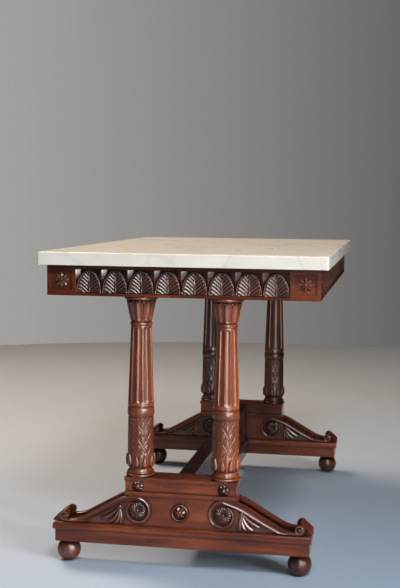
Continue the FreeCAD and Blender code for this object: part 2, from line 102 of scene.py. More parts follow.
def loftRings(name, rings, recess):
    # a closed skin over rings of points in mm, with flat ends
    wide = len(rings[0])
    count = wide * len(rings)
    faces = []
    for start in range(0, count - wide, wide):
        for k in range(wide):
            a, b = start + k, start + (k + 1) % wide
            faces.append((a, b, b + wide, a + wide))
    faces += [tuple(range(wide)), tuple(range(count - wide, count))]
    return weld(newPiece(name, [point for ring in rings for point in ring], faces, recess))


def alongLine(line):
    # every point of a line in X and Z, with the direction that the line runs in there
    for i, (x, z) in enumerate(line):
        before, after = line[max(0, i - 1)], line[min(len(line) - 1, i + 1)]
        yield i, x, z, Vector((after[0] - before[0], after[1] - before[1])).normalized()


def moveMesh(piece, matrix):
    piece.data.transform(matrix)
    if matrix.determinant() < 0:
        piece.data.flip_normals()
    return piece


def copyPiece(piece, name, matrix):
    return moveMesh(addObject(name, piece.data.copy()), matrix)


def joinPieces(pieces, name):
    target = pieces[0]
    with bpy.context.temp_override(active_object=target, object=target, selected_objects=pieces,
                                   selected_editable_objects=pieces):
        bpy.ops.object.join()
    target.name = name
    target.data.name = name
    return target


def scatter(original, name, matrices):
    pieces = [copyPiece(original, name, matrix) for matrix in matrices]
    bpy.data.objects.remove(original)
    return joinPieces(pieces, name)


def weld(piece, backAt=None, axis=1):
    # merge doubles, close an open back on a flat level, and turn the faces outwards
    work = bmesh.new()
    work.from_mesh(piece.data)
    bmesh.ops.remove_doubles(work, verts=work.verts, dist=weldGap)
    bmesh.ops.dissolve_degenerate(work, edges=work.edges, dist=weldGap / 4)
    if backAt is not None:
        rim = [e for e in work.edges if e.is_boundary]
        made = bmesh.ops.extrude_edge_only(work, edges=rim)["geom"]
        for vert in [g for g in made if isinstance(g, bmesh.types.BMVert)]:
            vert.co[axis] = backAt
        bmesh.ops.holes_fill(work, edges=[e for e in work.edges if e.is_boundary], sides=0)
        bmesh.ops.remove_doubles(work, verts=work.verts, dist=weldGap)
    bmesh.ops.recalc_face_normals(work, faces=work.faces)
    work.to_mesh(piece.data)
    work.free()
    return piece


def smoothShade(piece, angle=38.0):
    piece.data.shade_smooth()
    piece.data.set_sharp_from_angle(angle=radians(angle))
    return piece


def shifted(x, y, z):
    return Matrix.Translation((x, y, z))


def turned(degrees):
    return Matrix.Rotation(radians(degrees), 4, "Z")


faceFront = Matrix.Rotation(radians(90), 4, "X")  # lays a piece that faces up over to face -Y


# nodes

def setSockets(tree, node, inputs):
    # an input is another node's output, or a plain value
    for socket, value in inputs.items():
        if isinstance(value, bpy.types.NodeSocket):
            tree.links.new(value, node.inputs[socket])
        elif node.inputs[socket].type == "RGBA":
            node.inputs[socket].default_value = value + (1.0,)
        else:
            node.inputs[socket].default_value = value
    return node


def addNode(tree, kind, inputs=None, **settings):
    node = tree.nodes.new(kind)
    for label, value in settings.items():
        setattr(node, label, value)
    return setSockets(tree, node, inputs or {})


def calc(tree, operation, *values):
    return addNode(tree, "ShaderNodeMath", dict(enumerate(values)), operation=operation).outputs[0]


def rescale(tree, value, low, high, toLow=0.0, toHigh=1.0):
    limits = {"From Min": low, "From Max": high, "To Min": toLow, "To Max": toHigh}
    return addNode(tree, "ShaderNodeMapRange", {"Value": value, **limits}).outputs["Result"]


def blend(tree, factor, a, b, **settings):
    sockets = {"Factor": factor, "A": a, "B": b}
    return addNode(tree, "ShaderNodeMix", sockets, data_type="RGBA", **settings).outputs["Result"]


def ramp(tree, value, stops):
    # stops are positions with their colours, from low to high
    node = addNode(tree, "ShaderNodeValToRGB", {"Fac": value})
    elements = node.color_ramp.elements
    for position, colour in stops[1:-1]:
        elements.new(position)
    for element, (position, colour) in zip(elements, stops):
        element.position = position
        element.color = colour + (1.0,)
    return node.outputs["Color"]


def noise(tree, where, size, detail, distortion=0.0):
    sockets = {"Vector": where, "Scale": size, "Detail": detail, "Distortion": distortion}
    return addNode(tree, "ShaderNodeTexNoise", sockets).outputs


# node trees that repeat carved pieces

def addSockets(tree, sockets):
    for label, way, kind in sockets:
        tree.interface.new_socket(label, in_out=way, socket_type="NodeSocket" + kind)
    return addNode(tree, "NodeGroupInput").outputs


def startTree(name, **sizes):
    tree = bpy.data.node_groups.new(name, "GeometryNodeTree")
    sockets = [("Carving", "INPUT", "Geometry")] + [(size, "INPUT", kind) for size, kind in sizes.items()]
    sockets += [("Finish", "INPUT", "Material"), ("Carving", "OUTPUT", "Geometry")]
    return tree, addSockets(tree, sockets)


def endTree(tree, given, line, **turn):
    # a copy on each point of the line, made real, merged at its seams and given its finish
    sockets = {"Points": line.outputs["Mesh"], "Instance": given["Carving"], **turn}
    place = addNode(tree, "GeometryNodeInstanceOnPoints", sockets)
    realize = addNode(tree, "GeometryNodeRealizeInstances", {"Geometry": place.outputs["Instances"]})
    sockets = {"Geometry": realize.outputs["Geometry"], "Distance": weldGap}
    merge = addNode(tree, "GeometryNodeMergeByDistance", sockets)
    sockets = {"Geometry": merge.outputs["Geometry"], "Material": given["Finish"]}
    paint = addNode(tree, "GeometryNodeSetMaterial", sockets)
    addNode(tree, "NodeGroupOutput", {"Carving": paint.outputs["Geometry"]})
    return tree


def ringTree():
    # copies of one carved sector, turned about Z
    tree, given = startTree("aroundTheAxis", Copies="Int")
    line = addNode(tree, "GeometryNodeMeshLine", {"Count": given["Copies"], "Offset": (0.0, 0.0, 0.0)})
    index = addNode(tree, "GeometryNodeInputIndex").outputs["Index"]
    angle = calc(tree, "MULTIPLY", calc(tree, "DIVIDE", index, given["Copies"]), 2 * pi)
    turn = addNode(tree, "ShaderNodeCombineXYZ", {"Z": angle}).outputs["Vector"]
    return endTree(tree, given, line, Rotation=turn)


def rowTree():
    # copies of one carved cell, side by side along X
    tree, given = startTree("alongTheRail", Copies="Int", Pitch="Float")
    step = addNode(tree, "ShaderNodeCombineXYZ", {"X": given["Pitch"]}).outputs["Vector"]
    line = addNode(tree, "GeometryNodeMeshLine", {"Count": given["Copies"], "Offset": step})
    return endTree(tree, given, line)


aroundTheAxis = ringTree()
alongTheRail = rowTree()


def runTree(piece, tree, values):
    modifier = piece.modifiers.new(tree.name, "NODES")
    modifier.node_group = tree
    for item in tree.interface.items_tree:
        if item.in_out == "INPUT" and item.name in values:
            modifier[item.identifier] = values[item.name]
    depsgraph = bpy.context.evaluated_depsgraph_get()
    mesh = bpy.data.meshes.new_from_object(piece.evaluated_get(depsgraph), preserve_all_data_layers=True,
                                           depsgraph=depsgraph)
    piece.modifiers.clear()
    piece.data = mesh
    return piece


# finishes

# polish is the near-black colour that painted shade darkens the wood towards
woodTones = dict(dark=(0.020, 0.0042, 0.0024), middle=(0.112, 0.0215, 0.0075), light=(0.42, 0.105, 0.030),
                 worn=(0.26, 0.080, 0.034), polish=(0.004, 0.0018, 0.0014))
look = dict(darkAt=0.34, middleAt=0.53, lightAt=0.86, figure=0.50, fibre=0.24, cloud=0.32, cavity=0.8,
            paintedShadeMost=0.95, edgeRadius=0.0013, wornGain=2.2, wornMost=0.45, roughness=0.16,
            roughSmear=0.22, roughInShade=0.30, bump=0.10, bumpDepth=0.0006, fibreHeight=0.7, smearHeight=0.5,
            corners=((0.016, 0.92, 1.25), (0.005, 0.90, 1.5)),  # reach, clear level and gain of the painted shade in corners
            fadeFrom=0.06, fadeTo=0.55, fullGloss=(1.8, 0.08), thinGloss=(1.5, 0.2))  # IOR, specular level
woodGrain = {  # stretch, scale, detail and distortion of each pattern
    "figure": ((1.1, 9.0, 9.0), 4.0, 4.0, 0.6),  # broad stripes
    "fibre": ((9.0, 260.0, 260.0), 3.0, 3.0),  # fine lines
    "cloud": ((3.0, 3.0, 3.0), 2.0, 2.0),  # slow change over the board
    "smear": ((14.0, 30.0, 30.0), 1.0, 3.0),  # uneven polish
}
woodSockets = (("Vector", "INPUT", "Vector"), ("Figure", "INPUT", "Float"), ("Color", "OUTPUT", "Color"),
               ("Roughness", "OUTPUT", "Float"), ("Polish", "OUTPUT", "Float"),
               ("Height", "OUTPUT", "Float"), ("Normal", "OUTPUT", "Vector"))


def mahoganyGroup():
    # colour, polish and pores of old mahogany, with shade painted into its corners and cuts; the grain runs
    # along X of the vector it is given
    group = bpy.data.node_groups.new("oldMahogany", "ShaderNodeTree")
    given = addSockets(group, woodSockets)

    def grain(scale, size, detail, distortion=0.0):
        mapping = addNode(group, "ShaderNodeMapping", {"Vector": given["Vector"], "Scale": scale})
        return noise(group, mapping.outputs["Vector"], size, detail, distortion)["Fac"]

    patterns = {name: grain(*values) for name, values in woodGrain.items()}
    tone = calc(group, "MULTIPLY", calc(group, "SUBTRACT", given["Figure"], 0.5), 0.5)
    for name in ("figure", "fibre", "cloud"):
        tone = calc(group, "MULTIPLY_ADD", patterns[name], look[name], tone)
    stops = [(look[step + "At"], woodTones[step]) for step in ("dark", "middle", "light")]
    carve = addNode(group, "ShaderNodeAttribute", attribute_name="recess")
    paintedShade = calc(group, "MULTIPLY", carve.outputs["Fac"], look["cavity"])
    for reach, clear, gain in look["corners"]:  # painted shade: the colour darkens in corners found by ambient occlusion
        corner = addNode(group, "ShaderNodeAmbientOcclusion", {"Distance": reach}, samples=6)
        shut = calc(group, "MULTIPLY", calc(group, "SUBTRACT", clear, corner.outputs["AO"]), gain)
        paintedShade = calc(group, "MAXIMUM", paintedShade, shut)
    paintedShade = calc(group, "MINIMUM", paintedShade, look["paintedShadeMost"])
    soft = addNode(group, "ShaderNodeBevel", {"Radius": look["edgeRadius"]}, samples=4).outputs["Normal"]
    plain = addNode(group, "ShaderNodeNewGeometry").outputs["Normal"]
    meet = addNode(group, "ShaderNodeVectorMath", {0: soft, 1: plain}, operation="DOT_PRODUCT")
    worn = calc(group, "SUBTRACT", 1.0, meet.outputs["Value"])
    worn = calc(group, "MULTIPLY", worn, look["wornGain"])
    worn = calc(group, "MINIMUM", worn, look["wornMost"])
    colour = blend(group, worn, ramp(group, tone, stops), woodTones["worn"])
    rough = calc(group, "MULTIPLY_ADD", patterns["smear"], look["roughSmear"], look["roughness"])
    uneven = calc(group, "MULTIPLY", patterns["smear"], look["smearHeight"])
    # painted shade: the colour darkens towards polish in cuts and corners, where the gloss is also taken off
    # and the wood gets rougher
    addNode(group, "NodeGroupOutput", {
        "Color": blend(group, paintedShade, colour, woodTones["polish"]),
        "Roughness": calc(group, "MULTIPLY_ADD", paintedShade, look["roughInShade"], rough),
        "Polish": calc(group, "SUBTRACT", 1.0, paintedShade),
        "Height": calc(group, "MULTIPLY_ADD", patterns["fibre"], look["fibreHeight"], uneven),
        "Normal": soft})
    return group


mahogany = mahoganyGroup()


def newMaterial(name):
    material = bpy.data.materials.new(name)
    material.use_nodes = True
    tree = material.node_tree
    where = addNode(tree, "ShaderNodeTexCoord").outputs["Object"]
    return material, tree, tree.nodes["Principled BSDF"], where


def mahoganyFinish(piece, grainTurn, shift, figure, coat=0.5, dull=0.3, edge=0.0):
    # grainTurn lays the grain along the piece, shift gives each board its own figure; coat and dull set
    # the old polish, edge how much its gloss fades where it is seen at a low angle
    material, tree, shader, where = newMaterial("mahogany" + piece[0].upper() + piece[1:])
    rotation = [radians(a) for a in grainTurn]
    mapping = addNode(tree, "ShaderNodeMapping", {"Vector": where, "Rotation": rotation, "Location": shift})
    sockets = {"Vector": mapping.outputs["Vector"], "Figure": figure}
    wood = addNode(tree, "ShaderNodeGroup", sockets, node_tree=mahogany).outputs
    sockets = {"Strength": look["bump"], "Distance": look["bumpDepth"], "Height": wood["Height"]}
    bump = addNode(tree, "ShaderNodeBump", {**sockets, "Normal": wood["Normal"]})
    turnedAway = addNode(tree, "ShaderNodeLayerWeight", {"Blend": 0.5}).outputs["Facing"]
    fade = rescale(tree, turnedAway, look["fadeFrom"], look["fadeTo"])
    clear = calc(tree, "MULTIPLY_ADD", fade, -edge, 1.0)
    shine = calc(tree, "MULTIPLY", clear, wood["Polish"])
    ior, specular = look["fullGloss"] if coat == 1.0 else look["thinGloss"]  # full on carved and turned work
    setSockets(tree, shader, {
        "Base Color": wood["Color"], "Roughness": wood["Roughness"], "Normal": bump.outputs["Normal"],
        "Coat Weight": calc(tree, "MULTIPLY", shine, coat), "Coat Roughness": dull,
        "Coat IOR": ior, "Specular IOR Level": specular})
    return material


alongX = (0, 0, 0)
alongY = (0, 0, 90)
alongZ = (0, 90, 0)
woods = {  # grain, shift, figure, and coat, dull and edge where they aren't the usual ones
    "frontRail": (alongX, (0.0, 0.0, 0.0), 0.44),
    "sideRail": (alongY, (0.3, 0.1, 0.0), 0.45),
    "cornerBlock": (alongX, (0.7, 0.2, 0.4), 0.42),
    "leafFront": (alongX, (1.4, 0.0, 0.2), 0.30, 1.0, 0.28),
    "leafSide": (alongY, (1.9, 0.0, 0.2), 0.32, 1.0, 0.28),
    "rosette": (alongX, (2.2, 0.5, 0.0), 0.48, 1.0, 0.25),
    "boss": (alongX, (3.4, 0.6, 0.1), 0.44, 1.0, 0.20, 0.5),
    # painted light and shade: the columns are one wood, lighter for the right front one and darker for the
    # left front and rear ones
    "columnLeft": (alongZ, (0.1, 0.9, 0.3), 0.66, 1.0, 0.32, 0.9),
    "columnRight": (alongZ, (0.6, 0.2, 1.3), 0.80, 1.0, 0.32, 0.9),
    "columnRear": (alongZ, (1.1, 0.7, 0.8), 0.44, 1.0, 0.32, 0.9),
    "trestle": (alongX, (0.9, 0.4, 0.8), 0.54),
    "carving": (alongX, (2.9, 0.1, 0.5), 0.49, 1.0, 0.28, 0.5),
    "plank": (alongX, (0.4, 1.2, 0.6), 0.51),
    "ball": (alongZ, (0.2, 0.3, 0.9), 0.52, 1.0, 0.38, 0.7),
    # painted shade: a darker copy of the ball wood
    "ballDark": (alongZ, (0.8, 0.1, 0.4), 0.34, 0.9, 0.38, 0.7),
    # painted shade: the stretcher under the top gets a near-black wood
    "stretcher": (alongY, (0.5, 0.6, 1.1), -0.15),
}
finishes = {piece: mahoganyFinish(piece, *values) for piece, values in woods.items()}

marble = dict(ground=(0.78, 0.75, 0.69), warm=(0.71, 0.65, 0.54), vein=(0.42, 0.41, 0.38), bend=0.35,
              bendScale=3.0, cloudScale=5.0, warmFrom=0.42, warmTo=0.72, veinScale=7.0, veinWidth=0.045,
              veinStrength=0.42, polish=0.18, dull=0.42)
innerWood = dict(dark=(0.12, 0.065, 0.03), light=(0.27, 0.165, 0.085), stretch=(2.0, 40.0, 40.0),
                 roughness=0.75)
screwSteel = dict(dark=(0.08, 0.06, 0.05), light=(0.38, 0.37, 0.35), spotScale=420.0, metallic=0.9,
                  roughness=0.45)


def marbleFinish():
    material, tree, shader, where = newMaterial("creamMarble")
    drift = noise(tree, where, marble["bendScale"], 5.0)["Color"]  # bends the veins
    sockets = {0: drift, 1: (marble["bend"],) * 3, 2: where}
    bent = addNode(tree, "ShaderNodeVectorMath", sockets, operation="MULTIPLY_ADD").outputs["Vector"]
    cloud = noise(tree, bent, marble["cloudScale"], 6.0)["Fac"]
    sockets = {"Vector": bent, "Scale": marble["veinScale"]}
    veins = addNode(tree, "ShaderNodeTexVoronoi", sockets, feature="DISTANCE_TO_EDGE").outputs["Distance"]
    thin = rescale(tree, veins, 0.0, marble["veinWidth"], marble["veinStrength"], 0.0)
    warmth = rescale(tree, cloud, marble["warmFrom"], marble["warmTo"])
    ground = blend(tree, warmth, marble["ground"], marble["warm"])
    colour = blend(tree, calc(tree, "MULTIPLY", thin, cloud), ground, marble["vein"])
    rough = rescale(tree, cloud, 0.0, 1.0, marble["polish"], marble["dull"])
    setSockets(tree, shader, {"Base Color": colour, "Roughness": rough})
    return material


def plainWoodFinish():
    # unpolished wood inside the frame
    material, tree, shader, where = newMaterial("innerWood")
    mapping = addNode(tree, "ShaderNodeMapping", {"Vector": where, "Scale": innerWood["stretch"]})
    grain = noise(tree, mapping.outputs["Vector"], 3.0, 4.0)["Fac"]
    colour = ramp(tree, grain, [(0.0, innerWood["dark"]), (1.0, innerWood["light"])])
    setSockets(tree, shader, {"Base Color": colour, "Roughness": innerWood["roughness"]})
    return material


def screwFinish():
    material, tree, shader, where = newMaterial("oldScrewSteel")
    spots = noise(tree, where, screwSteel["spotScale"], 2.0)["Fac"]
    colour = ramp(tree, spots, [(0.0, screwSteel["dark"]), (1.0, screwSteel["light"])])
    setSockets(tree, shader, {"Base Color": colour, "Metallic": screwSteel["metallic"],
                              "Roughness": screwSteel["roughness"]})
    return material


finishes.update(marble=marbleFinish(), innerWood=plainWoodFinish(), screws=screwFinish())
print("finishes made:", len(finishes))


def finishPiece(piece, finish, nodes, body="frame"):
    piece.data.materials.clear()
    piece.data.materials.append(finishes[finish])
    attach(piece, body)
    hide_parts(*nodes)


def placeCopies(original, places):
    # places gives each copy its name, place, finish and node
    for name, matrix, finish, node in places:
        finishPiece(copyPiece(original, name, matrix), finish, [node])
    bpy.data.objects.remove(original)


# plain boards keep their solids

boardFinishes = {
    "marble_top": "marble", "end_rail": "frontRail", "side_rail": "sideRail", "corner_block": "cornerBlock",
    "trestle_block": "trestle", "plinth_die": "trestle", "foot_board": "plank", "foot_plank": "plank",
    "stretcher": "stretcher", "column_bearer": "innerWood", "middle_bearer": "innerWood",
}
for nodeName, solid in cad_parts.items():
    choice = next((boardFinishes[key] for key in boardFinishes if nodeName.startswith(key)), "carving")
    if nodeName.endswith("_screws"):
        choice = "screws"
    solid.data.materials.clear()
    solid.data.materials.append(finishes[choice])
print("boards finished")


# carved leaf bands of the frieze

leaf = dict(leafPitch=62.0, leafHalf=30.4, leafHeight=53.6, shoulder=1.75, crown=2.3, cells=68,
            border=4.4, borderFoot=2.0, borderRise=4.0, rib=2.2, ribTaper=0.6, ribFoot=2.6, ribRise=1.6,
            veinPitch=8.4, veinSlope=1.2, veinCurve=0.016, veinFoot=1.0, veinRise=1.6, veinFade=2.0,
            veinLeast=0.4, dish=0.12, ground=0.3, dartHalf=12.5, dartFoot=7.0, dartSwell=0.85, dartGap=0.6,
            dartEdge=0.6, dartRise=5.4, fade=0.9)


def leafInside(a, z):
    # distance in from the edge of a full pointed arch, at a beside its middle and z above its foot
    shoulder, crown, half = leaf["shoulder"], leaf["crown"], leaf["leafHalf"]
    across = (a / half) ** shoulder
    along = (z / leaf["leafHeight"]) ** crown
    slope = hypot(shoulder * across / max(a, 0.01), crown * along / max(z, 0.01))
    return (1.0 - across - along) / max(slope, 1.0 / half)


def dartRelief(a, z, height, inside):
    # the dart between two leaves stops short of them; shade is painted at its edges and on the ground round
    # it
    reach = leaf["leafPitch"] / 2 - a
    foot = leaf["dartFoot"]
    width = leaf["dartHalf"] * clamp((z - foot) / (height - foot)) ** leaf["dartSwell"]
    width = min(width, reach - inside - leaf["dartGap"])
    if reach < width:
        return leaf["dartEdge"] + leaf["dartRise"] * (1 - reach / width), 0.5 * reach / width
    return leaf["ground"], 0.9


def leafRelief(x, z, height):
    # how far the carving stands out at x from the leaf's middle and z above its foot, and how much shade is
    # painted there
    a = abs(x)
    inside = leafInside(a, z)
    border = leaf["border"]
    rib = leaf["rib"] * (1.0 - leaf["ribTaper"] * z / leaf["leafHeight"])
    if inside > border and a < rib:
        out, shadeAmount = leaf["ribFoot"] + leaf["ribRise"] * hump(a / rib), 0.1
    elif inside > border:
        wave = z - leaf["veinSlope"] * (a - rib) + leaf["veinCurve"] * a * a
        wave = wave / leaf["veinPitch"]
        ridge = abs(2 * (wave % 1.0) - 1)  # sharp ridges with flat sides
        edge = clamp((inside - border) / leaf["veinFade"])
        rise = leaf["veinRise"] * ridge * (leaf["veinLeast"] + (1 - leaf["veinLeast"]) * edge)
        out, shadeAmount = leaf["veinFoot"] + leaf["dish"] * (a - rib) + rise, 0.9 * (1.0 - ridge)
    elif inside > 0:
        out, shadeAmount = leaf["borderFoot"] + leaf["borderRise"] * hump(2 * inside / border - 1), 0.0
    else:
        out, shadeAmount = dartRelief(a, z, height, inside)
    return out * clamp(z / leaf["fade"]) * clamp((height - z) / leaf["fade"]), shadeAmount


def leafCell(height, pitch):
    scale = leaf["leafPitch"] / pitch

    def place(x, z):
        out, shadeAmount = leafRelief(x * scale, z, height)
        return (x, -out, z), shadeAmount

    return carvedSheet("leafCell", spread(-pitch / 2, pitch / 2, leaf["cells"]),
                       spread(0.0, height, leaf["cells"]), place)


def makeLeafBand(side, degrees, finish):
    low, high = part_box("leaf_band_" + side)
    across = 0 if side in ("front", "rear") else 1
    length = (high[across] - low[across]) / mm
    height = (high[2] - low[2]) / mm
    copies = round(length / leaf["leafPitch"])
    pitch = length / copies
    band = runTree(leafCell(height, pitch), alongTheRail,
                   {"Copies": copies, "Pitch": pitch * mm, "Finish": finishes[finish]})
    weld(band, backAt=0.0)
    deep = min(abs(low[1 - across]), abs(high[1 - across]))  # floor of the recess in the rail
    moveMesh(band, turned(degrees) @ shifted((pitch - length) / 2 * mm, -deep, low[2]))
    smoothShade(band, 32)
    band.name = "leafBand_" + side
    finishPiece(band, finish, ["leaf_band_" + side])


for side, degrees, finish in (("front", 0, "leafFront"), ("right", 90, "leafSide"),
                              ("rear", 180, "leafFront"), ("left", 270, "leafSide")):
    makeLeafBand(side, degrees, finish)
print("leaf bands carved")


# rosettes and roundels, carved face up about Z and then laid over

def carvedRing(name, copies, columns, rows, place, finish="carving"):
    # one carved sector, repeated about Z
    half = pi / copies
    sector = carvedSheet(name, spread(-half, half, columns), rows, place)
    return runTree(sector, aroundTheAxis, {"Copies": copies, "Finish": finishes[finish]})


def turnedPlace(outline, depth):
    # plain turned rings, from pairs of radius and height in mm
    return lambda angle, step: (polar(outline[step][0], angle, outline[step][1]), depth)


def turnedRing(name, copies, columns, outline, depth=0.0):
    return carvedRing(name, copies, columns, range(len(outline)), turnedPlace(outline, depth))


def bothEnds(places):
    return places + [turned(180) @ place for place in places]


def starSurface(spec):
    # a pointed petal with a ridge down its middle, and a round button; shade is painted on the petals' sides
    button = spec["button"] * spec["radius"]

    def place(angle, share):
        side = abs(angle) / (pi / spec["petals"])
        tip = spec["radius"] * (spec["waist"] + (1 - spec["waist"]) * (1 - side) ** spec["point"])
        reach = tip * min(share, 1.0)
        ridge = 1 - spec["valley"] * side
        rise = spec["height"] * ridge * sin(pi * (0.25 + 0.68 * share))  # highest before the middle
        if reach < button:
            rise = spec["height"] * 0.75 + spec["buttonRise"] * hump(reach / button)
        if share > 1.0:
            rise = 0.0
        return polar(reach, angle, rise), 0.7 * side ** 2 * (share < 1.0)
    return place


def makeRosette(name, spec, finish):
    shares = spread(0.0, 1.0, spec["rows"]) + [1.0001]  # the last row drops to the ground
    rosette = carvedRing(name, spec["petals"], spec["columns"], shares, starSurface(spec), finish)
    return smoothShade(weld(rosette, backAt=0.0, axis=2), 28)


cornerRosette = dict(petals=8, radius=17.5, waist=0.62, point=0.9, height=4.6, valley=0.62, button=0.2,
                     buttonRise=1.8, columns=8, rows=12, sink=3.0)


def makeCornerRosettes():
    level = centreOf("corner_rosettes")[2]
    blockLow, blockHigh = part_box("corner_block_front_right")
    centre = centreOf("corner_block_front_right")
    sink = cornerRosette["sink"] * mm  # depth of the sunk panel
    one = makeRosette("cornerRosette", cornerRosette, "rosette")
    places = []
    for degrees, across, face in ((0, centre[0], blockLow[1] + sink), (90, -centre[1], sink - blockHigh[0])):
        for step in (-across, across):
            places += bothEnds([turned(degrees) @ shifted(step, face, level) @ faceFront])
    finishPiece(scatter(one, "cornerRosettes", places), "rosette", ["corner_rosettes"])


makeCornerRosettes()

diePatera = dict(petals=8, radius=12.5, waist=0.82, point=0.6, height=5.0, valley=0.7, button=0.5,
                 buttonRise=4.5, columns=8, rows=16, ground=14.0, standOff=4.0)
centrePatera = dict(petals=6, radius=14.5, waist=0.80, point=0.55, height=6.4, valley=0.5, button=0.3,
                    buttonRise=2.2, columns=12, rows=14, ground=22.0)
pateraRing = dict(inner=16.0, outer=20.5, height=5.5)
shadeDiscShape = dict(height=0.4, slope=0.3)
volute = dict(petals=18, radius=24.0, disc=18.5, petalFoot=0.8, petalHeight=5.0, hub=2.6, hubFoot=3.4,
              hubRise=1.2, ground=0.5, columns=8, rows=30, standOff=5.0, solidRadius=30.0)


def roundOutline(inner, outer, height, steps=12):
    # a half-round section, closed underneath
    middle, reach = (inner + outer) / 2, (outer - inner) / 2
    arch = [(middle + reach * cos(a), height * sin(a)) for a in spread(pi, 0.0, steps)]
    return [(inner, 0.0)] + arch + [(outer, 0.0), (inner, 0.0)]


def shadeDisc(radius):
    # a thin disc round a carved boss, painted dark as shade
    top, rim = shadeDiscShape["height"], radius + shadeDiscShape["slope"]
    outline = [(0.0, 0.0), (0.0, top), (radius, top), (rim, 0.0), (0.0, 0.0)]
    return weld(turnedRing("ground", 24, 2, outline, 1.0))


def makePaterae():
    level = centreOf("centre_paterae")[2]
    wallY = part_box("volute_roundels")[0][1] + volute["standOff"] * mm  # the roundels stand on the same face
    outline = roundOutline(pateraRing["inner"], pateraRing["outer"], pateraRing["height"])
    ring = smoothShade(weld(turnedRing("pateraRing", 24, 3, outline)))
    boss = makeRosette("patera", centrePatera, "boss")
    one = joinPieces([boss, ring, shadeDisc(centrePatera["ground"])], "patera")
    front = shifted(0.0, wallY, level) @ faceFront
    finishPiece(scatter(one, "centrePaterae", bothEnds([front])), "boss", ["centre_paterae"])
    level = centreOf("die_paterae")[2]
    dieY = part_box("die_paterae")[0][1] + diePatera["standOff"] * mm
    columnX = centreOf("column_front_right")[0]
    boss = makeRosette("diePatera", diePatera, "boss")
    small = joinPieces([boss, shadeDisc(diePatera["ground"])], "diePatera")
    pair = [shifted(x, dieY, level) @ faceFront for x in (-columnX, columnX)]
    finishPiece(scatter(small, "diePaterae", bothEnds(pair)), "boss", ["die_paterae"])


makePaterae()


def voluteSurface(angle, reach):
    # painted shade darkens the low parts of the petals
    side = angle / (pi / volute["petals"])
    foot, tall = volute["petalFoot"], volute["petalHeight"]
    if reach < volute["hub"]:
        rise, depth = volute["hubFoot"] + volute["hubRise"] * hump(reach / volute["hub"]), 0.0
    elif reach < volute["disc"]:
        along = (reach - volute["hub"]) / (volute["disc"] - volute["hub"])
        swell = sin(pi * clamp(0.12 + 0.78 * along)) ** 0.6
        rise = foot + (tall - foot) * swell * hump(0.97 * side) ** 0.8
        depth = 1.0 - rise / tall
    else:
        rise, depth = volute["ground"], 1.0  # ground under the scroll, painted dark as shade
    return polar(reach, angle, rise), depth


def makeVolutes():
    low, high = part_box("volute_roundels")
    level = centreOf("volute_roundels")[2]
    reaches = spread(0.0, volute["radius"], volute["rows"])
    one = carvedRing("volute", volute["petals"], volute["columns"], reaches, voluteSurface)
    smoothShade(weld(one, backAt=0.0, axis=2), 45)
    wall = low[1] + volute["standOff"] * mm
    columnX = high[0] - volute["solidRadius"] * mm
    middleY = centreOf("trestle_block_front")[1]
    places = []
    for x in (-columnX, columnX):
        outer = shifted(x, wall, level) @ faceFront
        inner = shifted(0, middleY, 0) @ turned(180) @ shifted(x, wall - middleY, level) @ faceFront
        places += bothEnds([outer, inner])
    finishPiece(scatter(one, "voluteRoundels", places), "boss", ["volute_roundels"])


makeVolutes()
print("rosettes and roundels carved")


# columns: carved zones stacked on one axis, each repeated about it

column = dict(turnSteps=240, base=23.0, cup=31.0, drum=85.0, groove=4.0, bandRing=20.0, astragal=12.0,
              bell=47.0, abacusNeck=2.0, abacus=7.0, oldPolish=0.3, leftTurn=-113, rightTurn=-76)
flute = dict(copies=12, footRadius=30.5, headRadius=24.0, share=0.86, deep=2.6, footMargin=8.0,
             headMargin=3.5, footRun=26.0, headRun=20.0, footRows=22, rows=14, headRows=18, paintedShade=0.4)
bell = dict(copies=12, rows=40, fadeFoot=0.03, fadeHead=0.015, foot=24.4, flare=11.0, close=1.6,
            petal=0.92, shoulder=0.76, arch=0.22, dish=1.9, rim=2.7, hollow=1.6, curl=1.0, curlAt=0.6,
            curlRun=0.38, polish=0.15, paintedShade=0.5, shadeRun=0.36, ground=2.4, bud=2.4, budLevel=0.91,
            budFoot=2.0, budRise=3.4)
trellis = dict(copies=8, rows=66, fadeFoot=0.02, fadeHead=0.02, rise=34.8, foot=15.9, footRadius=31.0,
               taper=1.0, strap=1.8, strapRise=0.4, strapDeep=0.6, strapShade=0.15, edge=2.6, slope=4.5,
               deep=1.1, paintedShade=0.65, shadeRun=2.6)
cup = dict(copies=10, rows=48, fadeFoot=0.05, fadeHead=0.03, radius=30.6, flare=0.4, belly=0.9, point=1.5,
           dropFoot=0.06, dropTall=0.86, dropWide=0.62, dropEdge=0.2, dropRise=3.2, round=0.28,
           secondFoot=0.15, secondWiden=0.72, secondWide=0.73, secondHead=0.8, secondTip=0.2,
           secondDeep=0.9, secondRise=1.1, deep=2.2, groundFrom=0.5, groundRun=0.45)


def turnedZone(outline):
    return flute["copies"], range(len(outline)), turnedPlace(outline, column["oldPolish"])


def roundRing(foot, head, edge, radius, steps=8):
    middle, half = (foot + head) / 2, (head - foot) / 2
    turns = spread(-pi / 2, pi / 2, steps)
    return [(edge + (radius - edge) * cos(a), middle + half * sin(a)) for a in turns]


